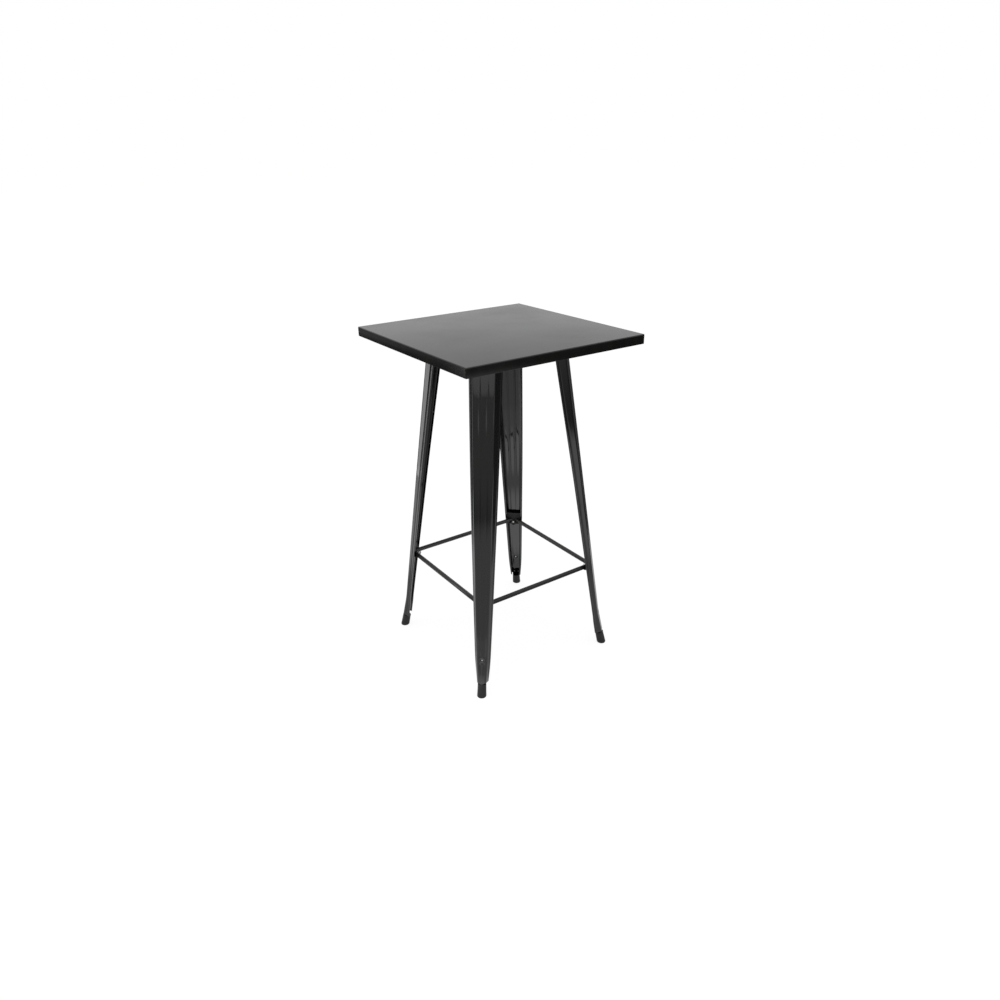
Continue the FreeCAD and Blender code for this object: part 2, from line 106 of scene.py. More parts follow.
LIPS = [(SHOULDER, 4.0), (0, 6.0), (LEG_LENGTH, 6.0)]
FLUTE_WIDTH = 10.0
EDGE_FLUTE_INSET = 9.5
EDGE_FLUTE_WIDTH = 5.5
EDGE_FLUTE_DEPTH = 1.2
EDGE_FLUTE_FADE = 25.0
FACE_BEND = 6.0
LIP_BEND = 1.8
LIP_ROUNDING = 1.0
# Least half strip between the face's flutes, and least flats beyond a flute on face and flank
LEAST_STRIP = 1.2
LEAST_EDGE = 0.6
LEAST_FLANK = 0.3
LEG_EDGE = 0.3
LEG_EDGE_ANGLE = 50
LEG_SMOOTH_ANGLE = 40

# Ankle hole in its dished seat
HOLE_RADIUS = 1.3
DISH_RADIUS = 8.4
DISH_FLOOR = 4.4
DISH_DEPTH = 2.2
FLUTE_FADE = (DISH_RADIUS - 2, DISH_RADIUS + 7)
# Rings of the sheet's grid: the hole's edge, the last round one and the first square one
HOLE_RING = 4
ROUND_RINGS = 9
SQUARE_RING = 13

# Steps across half the leg's sheet, from its middle outwards
STRIP_STEPS = 4
GROOVE_STEPS = 8
FACE_EDGE_STEPS = 3
BEND_STEPS = 6
FLANK_STEPS = 5
LIP_STEPS = 5
# How many of the flank's columns run on into the foot
KEPT_FLANK = 3

# Rows along the sheet: 1 mm apart this far each side of the hole, and (from, to, steps) above
HOLE_SPAN = 14
HOLE_SPAN_STEPS = 16
LOWER_SPAN = 60
LEVEL_SPAN = 60
SPANS = [(HOLE_SPAN, LOWER_SPAN, 8), (LOWER_SPAN, LEG_LENGTH - LEVEL_SPAN, 44),
         (LEG_LENGTH - LEVEL_SPAN, LEG_LENGTH, 6)]
PIPE_LEAD = 2.0
SHOULDER_STEPS = 8
PIPE_STEPS = 6

# Foot cap
CAP_HEIGHT = 41.5
CAP_TOP_RADIUS = 13.3
CAP_BOTTOM_RADIUS = 14.4
CAP_SOLE = 8.0
CAP_CLEARANCE = 0.3
CAP_LEVEL_HEIGHT = 12
CAP_SMOOTH_ANGLE = 50
BORE_FILLET = 1
RIM_STEPS = 8
# (height, inset from the bottom radius), and (depth below the top, inset from the top radius)
CAP_FOOT_BAND = [(0, 2.2), (0.35, 0.9), (1.2, 0.2), (2.4, 0), (6.0, 0.05), (7.5, 0.35)]
CAP_NECK = [(3.2, 0.1), (2.4, 0)]

# Footrest
RING_HALF = 211.0
RING_Z = 295.0
ROD_RADIUS = 7.0
ROD_EDGE = 0.4
BRACKET_REACH = 287.9
PLATE_TOP = 290.7
SHELF_BOTTOM = 285.2

# Bolts and nuts
BOLT_REACH = 279.5
BOLT_RADIUS = 3.0
BOLT_PROUD = 2
BOLT_TIP = 0.7
BOLT_TIP_INSET = 0.5
HEX = 10.0
HEX_HEAD = 4.0
HEX_NUT = 5.2
HEX_CHAMFER_RADIUS = HEX / 2 * 0.94
HEX_CHAMFER_ANGLE = math.radians(30)
WASHER_INSET = 0.2
WASHER_FACE = 0.3
# (share of the chamfer's radius, depth)
HEAD_DISH = [(0.62, 0), (0.55, 0.25)]
THREAD_DEPTH = 0.4
THREAD_PITCH = 1.0
THREAD_TOP = PLATE_TOP - 6
SHANK_BOTTOM = PLATE_TOP - 4
NUT_GAP = 0.05
NUT_SINK_WIDTH = 0.5
NUT_SINK_DEPTH = 0.4
FASTENER_SMOOTH_ANGLE = 30


def between(low, high, share):
    """The value at a share of the way from low to high."""
    return low + (high - low) * share


def smooth(low, high, value):
    """0 below low, 1 above high, and a smooth step between them."""
    share = min(max((value - low) / (high - low), 0.0), 1.0)
    return share * share * (3 - 2 * share)


def through(table, at):
    """A smooth curve through a table of (position, value), without overshoot."""
    if at <= table[0][0]:
        return table[0][1]
    if at >= table[-1][0]:
        return table[-1][1]
    i = max(k for k in range(len(table) - 1) if table[k][0] <= at)
    slopes = [(b[1] - a[1]) / (b[0] - a[0]) for a, b in zip(table, table[1:])]

    def tangent(k):
        if k == 0:
            return slopes[0]
        if k == len(table) - 1:
            return slopes[-1]
        left, right = slopes[k - 1], slopes[k]
        return 0.0 if left * right <= 0 else 2 * left * right / (left + right)

    (x0, y0), (x1, y1) = table[i], table[i + 1]
    width = x1 - x0
    s = (at - x0) / width
    m0, m1 = tangent(i) * width, tangent(i + 1) * width
    return ((2 * s ** 3 - 3 * s ** 2 + 1) * y0 + (s ** 3 - 2 * s ** 2 + s) * m0
            + (3 * s ** 2 - 2 * s ** 3) * y1 + (s ** 3 - s ** 2) * m1)


# Mesh helpers

def mesh_object(name, points, faces, smooth_angle=SMOOTH_ANGLE):
    """A piece from points in millimetres, shaded smooth up to an angle."""
    mesh = bpy.data.meshes.new(name)
    mesh.from_pydata([tuple(c * MM for c in p) for p in points], [], faces)
    mesh.validate()
    clean = bmesh.new()
    clean.from_mesh(mesh)
    bmesh.ops.remove_doubles(clean, verts=clean.verts, dist=SAME_POINT * MM)
    bmesh.ops.recalc_face_normals(clean, faces=clean.faces)
    clean.to_mesh(mesh)
    clean.free()
    piece = bpy.data.objects.new(name, mesh)
    bpy.context.scene.collection.objects.link(piece)
    shade(piece, smooth_angle)
    return piece


def shade(piece, angle):
    """Shades a piece smooth, and sharp at edges over an angle in degrees."""
    piece.data.shade_smooth()
    piece.data.set_sharp_from_angle(angle=math.radians(angle))


def applied(piece, angle):
    """The piece with its modifiers applied."""
    bpy.context.view_layer.update()
    evaluated = piece.evaluated_get(bpy.context.evaluated_depsgraph_get())
    mesh = bpy.data.meshes.new_from_object(evaluated)
    piece.modifiers.clear()
    old = piece.data
    piece.data = mesh
    bpy.data.meshes.remove(old)
    shade(piece, angle)
    return piece


def bevelled(piece, width, angle):
    """Adds a fine bevel in millimetres to edges over an angle in degrees."""
    edge = piece.modifiers.new("edges", "BEVEL")
    edge.width = width * MM
    edge.segments = 2
    edge.limit_method = "ANGLE"
    edge.angle_limit = math.radians(angle)


def cut(piece, cutter):
    """Takes one piece out of another and deletes it."""
    modifier = piece.modifiers.new("cut", "BOOLEAN")
    modifier.operation = "DIFFERENCE"
    modifier.solver = "EXACT"
    modifier.object = cutter
    applied(piece, SMOOTH_ANGLE)
    mesh = cutter.data
    bpy.data.objects.remove(cutter)
    bpy.data.meshes.remove(mesh)


def ring_faces(rings, first_closed, last_closed):
    """The points and faces of a skin through closed rings of equally many points."""
    count = len(rings[0])
    points = [p for ring in rings for p in ring]
    faces = []
    for r in range(len(rings) - 1):
        for k in range(count):
            n = (k + 1) % count
            faces.append((r * count + k, r * count + n,
                          (r + 1) * count + n, (r + 1) * count + k))
    if first_closed:
        faces.append(tuple(range(count))[::-1])
    if last_closed:
        faces.append(tuple((len(rings) - 1) * count + k for k in range(count)))
    return points, faces


def joined(parts):
    """Several (points, faces) as one."""
    points, faces = [], []
    for some_points, some_faces in parts:
        start = len(points)
        points += some_points
        faces += [tuple(i + start for i in face) for face in some_faces]
    return points, faces


def turned(points, angle):
    """Points turned about the table's upright axis."""
    turn = Matrix.Rotation(math.radians(angle), 3, "Z")
    return [tuple(turn @ Vector(p)) for p in points]


def at_corners(part):
    """A corner's (points, faces), drawn on the +X side, at all four corners."""
    points, faces = part
    return joined([(turned(points, angle), faces) for angle in CORNERS.values()])


def adopt(piece, slot, *nodes):
    """The piece rides on the table, takes its finish from a slot and stands for CAD nodes."""
    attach(piece, "root")
    piece.data.materials.clear()
    piece.data.materials.append(MATERIALS[slot])
    if nodes:
        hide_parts(*nodes)
    return piece


# Materials

def new_material(name, **constants):
    """A material whose shader has constants on its own sockets, with its nodes and links."""
    material = bpy.data.materials.new(name)
    material.use_nodes = True
    nodes, links = material.node_tree.nodes, material.node_tree.links
    shader = nodes["Principled BSDF"]
    for key, value in constants.items():
        shader.inputs[key.replace("_", " ")].default_value = value
    return material, nodes, links, shader


def noise(nodes, links, scale, detail=2.0, stretch=(1, 1, 1)):
    """A noise texture in the table's own coordinates; scale is in features per metre."""
    place = nodes.new("ShaderNodeTexCoord")
    mapping = nodes.new("ShaderNodeMapping")
    mapping.inputs["Scale"].default_value = stretch
    texture = nodes.new("ShaderNodeTexNoise")
    texture.inputs["Scale"].default_value = scale
    texture.inputs["Detail"].default_value = detail
    links.new(place.outputs["Object"], mapping.inputs["Vector"])
    links.new(mapping.outputs["Vector"], texture.inputs["Vector"])
    return texture.outputs["Fac"]


def ranged(nodes, links, source, low, high, to_low=0.0, to_high=1.0, shape="LINEAR"):
    """A value mapped from one range to another, and kept within it."""
    node = nodes.new("ShaderNodeMapRange")
    node.interpolation_type = shape
    for end, value in (("From Min", low), ("From Max", high),
                       ("To Min", to_low), ("To Max", to_high)):
        node.inputs[end].default_value = value
    links.new(source, node.inputs["Value"])
    return node.outputs["Result"]


def blended(nodes, links, share, first, second):
    """A colour between two; each is a socket or a colour."""
    node = nodes.new("ShaderNodeMix")
    node.data_type = "RGBA"
    links.new(share, node.inputs[0])
    for socket, colour in ((node.inputs[6], first), (node.inputs[7], second)):
        if isinstance(colour, bpy.types.NodeSocket):
            links.new(colour, socket)
        else:
            socket.default_value = (*colour, 1)
    return node.outputs[2]


def bumped(nodes, links, shader, layers):
    """Bumps on top of each other; a layer is (height, distance in metres, strength)."""
    normal = None
    for height, distance, strength in layers:
        bump = nodes.new("ShaderNodeBump")
        bump.inputs["Distance"].default_value = distance
        bump.inputs["Strength"].default_value = strength
        links.new(height, bump.inputs["Height"])
        if normal is not None:
            links.new(normal, bump.inputs["Normal"])
        normal = bump.outputs["Normal"]
    links.new(normal, shader.inputs["Normal"])


def paint(name, dark, light, rough, worn, peel, **gloss):
    """Black coating on sheet steel: orange peel, cloudy gloss, faint dust and rubbed edges."""
    material, nodes, links, shader = new_material(name, **gloss)
    clouds = noise(nodes, links, scale=7, detail=3)
    runs = noise(nodes, links, scale=26, stretch=(1, 1, 0.06))
    grain = noise(nodes, links, scale=420)
    waves = noise(nodes, links, scale=45, detail=1)
    dust = ranged(nodes, links, noise(nodes, links, scale=1500, detail=4), 0.66, 0.78)
    edge = nodes.new("ShaderNodeNewGeometry").outputs["Pointiness"]
    rubbed = ranged(nodes, links, edge, 0.53, 0.62)
    colour = blended(nodes, links, ranged(nodes, links, runs, 0.35, 0.65), dark, light)
    colour = blended(nodes, links, dust, colour, worn)
    links.new(blended(nodes, links, rubbed, colour, worn), shader.inputs["Base Color"])
    links.new(ranged(nodes, links, clouds, 0.3, 0.7, *rough), shader.inputs["Roughness"])
    bumped(nodes, links, shader, [(grain, 0.0003, peel), (waves, 0.0006, 0.04)])
    return material


def zinc():
    """Bright zinc plate: pale, slightly blue and yellow in patches, finely streaked."""
    material, nodes, links, shader = new_material("zinc_plate_steel", Metallic=1.0)
    patches = noise(nodes, links, scale=260, detail=3)
    streaks = noise(nodes, links, scale=900, stretch=(1, 1, 0.1))
    links.new(blended(nodes, links, ranged(nodes, links, patches, 0.35, 0.65),
                      (0.88, 0.89, 0.91), (0.94, 0.92, 0.87)), shader.inputs["Base Color"])
    links.new(ranged(nodes, links, streaks, 0.3, 0.7, 0.25, 0.40), shader.inputs["Roughness"])
    bumped(nodes, links, shader, [(streaks, 0.0001, 0.2)])
    return material


def rubber():
    """Black rubber: a fine grain and a dusty bloom."""
    material, nodes, links, shader = new_material("black_cap_rubber", IOR=1.5,
                                                  Specular_IOR_Level=0.45)
    bloom = noise(nodes, links, scale=60, detail=4)
    grain = noise(nodes, links, scale=2200)
    links.new(blended(nodes, links, ranged(nodes, links, bloom, 0.4, 0.75),
                      (0.009, 0.009, 0.009), (0.020, 0.020, 0.0195)), shader.inputs["Base Color"])
    links.new(ranged(nodes, links, bloom, 0.3, 0.7, 0.38, 0.55), shader.inputs["Roughness"])
    bumped(nodes, links, shader, [(grain, 0.0002, 0.25)])
    return material


MATERIALS = {
    "top_paint": paint("top_black_semi_gloss",
                       dark=(0.0040, 0.0040, 0.0038), light=(0.0065, 0.0065, 0.0060),
                       rough=(0.17, 0.24), worn=(0.03, 0.03, 0.03), peel=0.08, IOR=1.42),
    "leg_paint": paint("leg_black_gloss",
                       dark=(0.0018, 0.0022, 0.0028), light=(0.0045, 0.0040, 0.0034),
                       rough=(0.05, 0.10), worn=(0.02, 0.02, 0.02), peel=0.03,
                       IOR=1.5, Coat_Weight=1.0, Coat_Roughness=0.04, Coat_IOR=1.5),
    "frame_paint": paint("frame_black_satin",
                         dark=(0.004, 0.004, 0.0042), light=(0.0065, 0.0065, 0.0063),
                         rough=(0.32, 0.45), worn=(0.03, 0.03, 0.03), peel=0.15,
                         IOR=1.5, Specular_IOR_Level=0.18),
    "footrest_paint": paint("footrest_black_gloss",
                            dark=(0.003, 0.003, 0.0034), light=(0.005, 0.005, 0.0048),
                            rough=(0.14, 0.22), worn=(0.03, 0.03, 0.03), peel=0.05, IOR=1.45),
    "zinc_plate": zinc(),
    "cap_rubber": rubber(),
}


# Top

def rounded_square(half, radius, z):
    """A closed ring round a square with rounded corners."""
    radius = max(radius, LEAST_CORNER)
    ring = []
    for quarter in range(4):
        for k in range(TOP_CORNER_STEPS + 1):
            angle = math.pi / 2 * (quarter + k / TOP_CORNER_STEPS)
            middle = math.pi / 4 + math.pi / 2 * quarter
            cx = math.copysign(half - radius, math.cos(middle))
            cy = math.copysign(half - radius, math.sin(middle))
            ring.append((cx + radius * math.cos(angle), cy + radius * math.sin(angle), z))
    return ring


def top_pan():
    """The folded top: rounded top bend, skirt, tight bottom bend and the inward return."""
    bottom = TOP_Z - SKIRT_DEPTH
    profile = []
    for k in range(TOP_BEND_STEPS + 1):
        angle = math.pi / 2 * (1 - k / TOP_BEND_STEPS)
        profile.append((TOP_BEND * (1 - math.cos(angle)),
                        TOP_Z - TOP_BEND + TOP_BEND * math.sin(angle)))
    for k in range(TOP_BEND_STEPS + 1):
        angle = math.pi / 2 * k / TOP_BEND_STEPS
        profile.append((RETURN_BEND * (1 - math.cos(angle)),
                        bottom + RETURN_BEND * (1 - math.sin(angle))))
    profile += [(RETURN_WIDTH, bottom), (RETURN_WIDTH, bottom + TOP_SHEET)]
    profile += [(RETURN_BEND, bottom + TOP_SHEET), (TOP_SHEET, bottom + RETURN_BEND)]
    profile += [(TOP_SHEET, TOP_Z - TOP_BEND), (TOP_BEND, TOP_Z - TOP_SHEET)]
    rings = [rounded_square(TOP_HALF - inset, TOP_BEND - inset, z) for inset, z in profile]
    pan = mesh_object("top_pan_skin", *ring_faces(rings, True, True))
    inner = (TOP_HALF - RETURN_WIDTH) * math.sqrt(2) - RETURN_WIDTH
    outer = (TOP_HALF - TOP_SHEET - TOP_BEND) * math.sqrt(2)
    half = MITRE_SLIT / 2
    ring = [(inner, -half), (outer, -half), (outer, half), (inner, half)]
    slit = ring_faces([[(x, y, z) for x, y in ring]
                       for z in (bottom - SLIT_REACH, bottom + SLIT_REACH)], True, True)
    cut(pan, mesh_object("slits", *at_corners(slit)))
    return adopt(pan, "top_paint", "top_pan")


# Legs

def ridge(t):
    """The ridge point at a distance up from the ankle, and the leg's lean there."""
    ankle = Vector((ANKLE_REACH, 0, ANKLE_Z))
    up = Vector((-math.sin(LEG_ANGLE), 0, math.cos(LEG_ANGLE)))
    down = Vector((math.sin(FOOT_ANGLE), 0, -math.cos(FOOT_ANGLE)))
    if t >= BEND_TANGENT:
        return ankle + up * t, LEG_ANGLE
    if t <= -BEND_TANGENT:
        return ankle - down * t, FOOT_ANGLE
    s = (t + BEND_TANGENT) / (2 * BEND_TANGENT)
    start, end = ankle + down * BEND_TANGENT, ankle + up * BEND_TANGENT
    point = start * (1 - s) ** 2 + ankle * (2 * s * (1 - s)) + end * s ** 2
    return point, between(FOOT_ANGLE, LEG_ANGLE, s)


def in_space(t, u, v):
    """A section's point in space; sections turn level towards the leg's top edge."""
    point, lean = ridge(t)
    level = smooth(LEG_LENGTH - LEVEL_SPAN, LEG_LENGTH, t)
    slope = between(lean, 0.0, level)
    stretch = between(1.0, 1 / math.cos(lean), level)
    inward = Vector((-math.cos(slope), 0, -math.sin(slope)))
    return point + Vector((0, u, 0)) + inward * (v * stretch)


def groove(distance, width):
    """The depth share of a rounded groove at a distance from its middle."""
    return math.cos(math.pi * distance / width) ** 2 if abs(distance) < width / 2 else 0.0


def face_depth(a, t):
    """How far the face is pressed in at a distance from its middle: flutes and dished seat."""
    flute = through(FLUTES, t) / 2
    depth = through(FLUTE_DEPTHS, t) * groove(abs(a) - flute, FLUTE_WIDTH)
    from_hole = math.hypot(a, t)
    depth *= smooth(*FLUTE_FADE, from_hole)
    return depth + DISH_DEPTH * (1 - smooth(DISH_FLOOR, DISH_RADIUS, from_hole))


def face_stops(t):
    """Distances from the middle of the face where the sheet is sampled, out to the bend."""
    flute = through(FLUTES, t) / 2
    half = through(FACES, t) / 2
    splay = math.atan2(through(WIDTHS, t) / 2 - half, through(DEPTHS, t))
    edge = half - FACE_BEND * math.tan((math.pi / 2 - splay) / 2)
    near = max(flute - FLUTE_WIDTH / 2, LEAST_STRIP)
    far = min(flute + FLUTE_WIDTH / 2, edge - LEAST_EDGE)
    stops = [near * k / STRIP_STEPS for k in range(STRIP_STEPS)]
    stops += [between(near, far, k / GROOVE_STEPS) for k in range(GROOVE_STEPS)]
    return stops + [between(far, edge, k / FACE_EDGE_STEPS) for k in range(FACE_EDGE_STEPS + 1)]


def flank_points(t):
    """Half the section beyond the face: bend, flank with its edge flute, lip bend and lip."""
    half, depth = through(FACES, t) / 2, through(DEPTHS, t)
    width = through(WIDTHS, t) / 2 + LIP_ROUNDING
    splay = math.atan2(width - half, depth)
    turn = math.pi / 2 - splay
    setback = FACE_BEND * math.tan(turn / 2)
    points = []
    for k in range(1, BEND_STEPS + 1):
        angle = turn * k / BEND_STEPS
        points.append((half - setback + FACE_BEND * math.sin(angle),
                       FACE_BEND * (1 - math.cos(angle))))
    along = Vector((math.sin(splay), math.cos(splay)))
    inward = Vector((-math.cos(splay), math.sin(splay)))
    corner = Vector((half, 0))
    length = math.hypot(width - half, depth)
    lip_turn = math.pi / 2 + splay
    lip_setback = LIP_BEND * math.tan(lip_turn / 2)
    start, end = setback, length - lip_setback
    middle = length - EDGE_FLUTE_INSET
    flute_start = middle - EDGE_FLUTE_WIDTH / 2
    flute_end = min(middle + EDGE_FLUTE_WIDTH / 2, end - LEAST_FLANK)
    stops = [between(start, flute_start, k / FLANK_STEPS) for k in range(1, FLANK_STEPS + 1)]
    stops += [between(flute_start, flute_end, k / GROOVE_STEPS) for k in range(1, GROOVE_STEPS + 1)]
    stops += [end]
    fade = smooth(SHOULDER, SHOULDER + EDGE_FLUTE_FADE, t)
    for stop in stops:
        sink = EDGE_FLUTE_DEPTH * fade * groove(stop - middle, EDGE_FLUTE_WIDTH)
        points.append(tuple(corner + along * stop + inward * sink))
    centre = corner + along * end + inward * LIP_BEND
    for k in range(1, LIP_STEPS + 1):
        angle = lip_turn * k / LIP_STEPS
        points.append(tuple(centre - inward * (LIP_BEND * math.cos(angle))
                            + along * (LIP_BEND * math.sin(angle))))
    last = points[-1]
    lip_edge = width - LIP_ROUNDING - through(LIPS, t)
    points.append((between(last[0], lip_edge, 0.5), last[1]))
    points.append((lip_edge, last[1]))
    return points


def leg_rows():
    """Distances up the ridge at which the sheet is sampled, 1 mm apart round the hole."""
    rows = [between(SHOULDER, -HOLE_SPAN, k / HOLE_SPAN_STEPS) for k in range(HOLE_SPAN_STEPS)]
    rows += range(-HOLE_SPAN, HOLE_SPAN + 1)
    for low, high, steps in SPANS:
        rows += [between(low, high, k / steps) for k in range(1, steps + 1)]
    return rows


def round_off(i, j, a, b, stops):
    """Rings of the sheet's grid near the hole, moved from squares onto circles."""
    ring = max(abs(i), abs(j))
    if ring == 0 or ring >= SQUARE_RING:
        return a, b
    radius = HOLE_RADIUS * ring / HOLE_RING if ring <= HOLE_RING else stops[ring]
    share = 1 - smooth(ROUND_RINGS, SQUARE_RING, ring)
    length = math.hypot(i, j)
    return between(a, radius * i / length, share), between(b, radius * j / length, share)


def leg_sheet():
    """The leg's outer skin from the shoulder to the rail, as rows of points, and its counts."""
    rows = leg_rows()
    hole_row = rows.index(0)
    grid = []
    half_face = len(face_stops(0)) - 1
    half_count = half_face + len(flank_points(0))
    keep_half = half_face + BEND_STEPS + KEPT_FLANK
    for j, t in enumerate(rows):
        stops, flank = face_stops(t), flank_points(t)
        line = []
        for i in range(-half_count, half_count + 1):
            side = -1 if i < 0 else 1
            if abs(i) <= half_face:
                a, b = side * stops[abs(i)], t
                a, b = round_off(i, j - hole_row, a, b, stops)
                line.append(in_space(b, a, face_depth(a, b)))
            else:
                u, v = flank[abs(i) - half_face - 1]
                line.append(in_space(t, side * u, v))
        grid.append(line)
    return grid, hole_row, half_count, half_face, keep_half


def foot_lines(keep_half, half_face):
    """The sheet below the shoulder: the face and bends run on into the pipe, inside the cap."""
    stops, flank = face_stops(SHOULDER), flank_points(SHOULDER)
    half = [(a, 0.0) for a in stops] + flank[:keep_half - half_face]
    lengths = [0.0]
    for p, q in zip(half, half[1:]):
        lengths.append(lengths[-1] + math.hypot(q[0] - p[0], q[1] - p[1]))
    lines = []
    pipe_top = PIPE_START - PIPE_LEAD
    rows = [between(SHOULDER, pipe_top, k / SHOULDER_STEPS) for k in range(1, SHOULDER_STEPS + 1)]
    rows += [between(pipe_top, PIPE_END, k / PIPE_STEPS) for k in range(1, PIPE_STEPS + 1)]
    for t in rows:
        share = 1 - smooth(PIPE_START - 1, SHOULDER + 1, t)
        line = []
        for i in range(-keep_half, keep_half + 1):
            side = -1 if i < 0 else 1
            angle = PIPE_HALF_WRAP * lengths[abs(i)] / lengths[-1]
            u, v = half[abs(i)]
            u = between(u, PIPE_RADIUS * math.sin(angle), share)
            v = between(v, PIPE_RADIUS * (1 - math.cos(angle)), share)
            line.append(in_space(t, side * u, v))
        lines.append(line)
    return lines


def make_leg():
    """One leg in its own frame: the sheet with its thickness."""
    grid, hole_row, half_count, half_face, keep_half = leg_sheet()
    width = 2 * half_count + 1
    points = [tuple(p) for line in grid for p in line]
    faces = []
    for j in range(len(grid) - 1):
        for k in range(width - 1):
            corners = [(j, k), (j, k + 1), (j + 1, k + 1), (j + 1, k)]
            if all(max(abs(c - half_count), abs(r - hole_row)) <= HOLE_RING for r, c in corners):
                continue
            faces.append(tuple(r * width + c for r, c in corners))
    above = [half_count + i for i in range(-keep_half, keep_half + 1)]
    for line in foot_lines(keep_half, half_face):
        start = len(points)
        points += [tuple(p) for p in line]
        here = [start + k for k in range(len(line))]
        faces += [(here[k], here[k + 1], above[k + 1], above[k]) for k in range(len(line) - 1)]
        above = here
    leg = mesh_object("leg_sheet", points, faces)
    facing = sum(f.normal.x * f.area for f in leg.data.polygons)
    solid = leg.modifiers.new("sheet", "SOLIDIFY")
    solid.thickness = LEG_SHEET * MM
    solid.offset = -1 if facing > 0 else 1
    solid.use_even_offset = True
    applied(leg, SMOOTH_ANGLE)
    bevelled(leg, LEG_EDGE, LEG_EDGE_ANGLE)
    return applied(leg, LEG_SMOOTH_ANGLE)


def legs():
    """The four legs, each a turned copy of the one."""
    leg = make_leg()
    for corner, angle in CORNERS.items():
        mesh = leg.data.copy()
        mesh.transform(Matrix.Rotation(math.radians(angle), 4, "Z"))
        piece = bpy.data.objects.new("leg_skin_" + corner, mesh)
        bpy.context.scene.collection.objects.link(piece)
        adopt(piece, "leg_paint", "leg_" + corner)
    bpy.data.objects.remove(leg)


# Foot caps

def foot_cap():
    """A tapered boot on the leaning pipe, its sole level, with a rolled rim and the open bore."""
    sole = Vector((FOOT_REACH, 0, 0))
    axis = Vector((-math.sin(FOOT_ANGLE), 0, math.cos(FOOT_ANGLE)))
    bore = PIPE_RADIUS + CAP_CLEARANCE
    rim = (CAP_TOP_RADIUS + bore) / 2
    wall = (CAP_TOP_RADIUS - bore) / 2
    profile = [(height, CAP_BOTTOM_RADIUS - inset) for height, inset in CAP_FOOT_BAND]
    profile += [(CAP_HEIGHT - drop, CAP_TOP_RADIUS - inset) for drop, inset in CAP_NECK]
    for k in range(RIM_STEPS + 1):
        angle = math.pi * k / RIM_STEPS
        profile.append((CAP_HEIGHT - wall + wall * math.sin(angle), rim + wall * math.cos(angle)))
    profile += [(CAP_SOLE + BORE_FILLET, bore), (CAP_SOLE, bore - BORE_FILLET)]
    rings = []
    for height, radius in profile:
        share = smooth(0, CAP_LEVEL_HEIGHT, height)
        normal = Vector((0, 0, 1)).lerp(axis, share).normalized()
        right = Vector((normal.z, 0, -normal.x))
        centre = sole + axis * height
        ring = []
        for angle in CIRCLE:
            across = Vector((0, radius * math.sin(angle), 0))
            point = centre + right * (radius * math.cos(angle)) + across
            ring.append((point.x, point.y, max(point.z, 0.0)))
        rings.append(ring)
    return ring_faces(rings, True, True)


def foot_caps():
    """The four caps as one piece."""
    boots = mesh_object("foot_cap_boots", *at_corners(foot_cap()), CAP_SMOOTH_ANGLE)
    adopt(boots, "cap_rubber", "foot_caps")


# Footrest

def rods():
    """The four round rods, their ends mitred to sit on the brackets, with a fine rounded edge."""
    flat = BRACKET_REACH * math.sqrt(2) - RING_HALF
    for side, angle in SIDES.items():
        rings = []
        for end, edge in ((-1, ROD_EDGE), (-1, 0.0), (1, 0.0), (1, ROD_EDGE)):
            radius, inset = ROD_RADIUS - edge, ROD_EDGE - edge
            ring = []
            for turn in CIRCLE:
                y = -RING_HALF + radius * math.cos(turn)
                x = end * (flat - inset - (abs(y) - RING_HALF))
                ring.append((x, y, RING_Z + radius * math.sin(turn)))
            rings.append(ring)
        points, faces = ring_faces(rings, True, True)
        piece = mesh_object("rod_" + side, turned(points, angle), faces)
        adopt(piece, "footrest_paint", "footrest_rod_" + side)


def hex_ring(height_at):
    """A hexagon round the bolt's axis; its height may depend on the distance from the axis."""
    ring = []
    for angle in CIRCLE:
        wedge = (angle + math.pi / 6) % (math.pi / 3) - math.pi / 6
        radius = HEX / 2 / math.cos(wedge)
        ring.append((BOLT_REACH + radius * math.cos(angle), radius * math.sin(angle),
                     height_at(radius)))
    return ring


def round_ring(radius, z):
    """A circle round the bolt's axis."""
    return [(BOLT_REACH + radius * math.cos(angle), radius * math.sin(angle), z)
            for angle in CIRCLE]


def chamfer(radius):
    """How far a hexagon's face is cut back at a distance from the axis."""
    return max(0.0, radius - HEX_CHAMFER_RADIUS) * math.tan(HEX_CHAMFER_ANGLE)


def bolt():
    """A hexagon bolt: chamfered head with its washer face, and the thread's end under the nut."""
    top, seat = PLATE_TOP + HEX_HEAD, PLATE_TOP + WASHER_FACE
    washer = HEX_CHAMFER_RADIUS - WASHER_INSET
    head = [round_ring(washer, PLATE_TOP), round_ring(washer, seat),
            hex_ring(lambda radius: seat), hex_ring(lambda radius: top - chamfer(radius)),
            round_ring(HEX_CHAMFER_RADIUS, top)]
    head += [round_ring(HEX_CHAMFER_RADIUS * share, top - drop) for share, drop in HEAD_DISH]
    crest, root = BOLT_RADIUS, BOLT_RADIUS - THREAD_DEPTH
    end = SHELF_BOTTOM - HEX_NUT - BOLT_PROUD
    z = end + BOLT_TIP
    shank = [round_ring(root - BOLT_TIP_INSET, end), round_ring(root, z)]
    while z < THREAD_TOP:
        shank += [round_ring(crest, z + 0.35), round_ring(crest, z + 0.45),
                  round_ring(root, z + 0.85), round_ring(root, z + THREAD_PITCH)]
        z += THREAD_PITCH
    shank += [round_ring(crest, SHANK_BOTTOM), round_ring(crest, PLATE_TOP)]
    return joined([ring_faces(head, True, True), ring_faces(shank, True, True)])


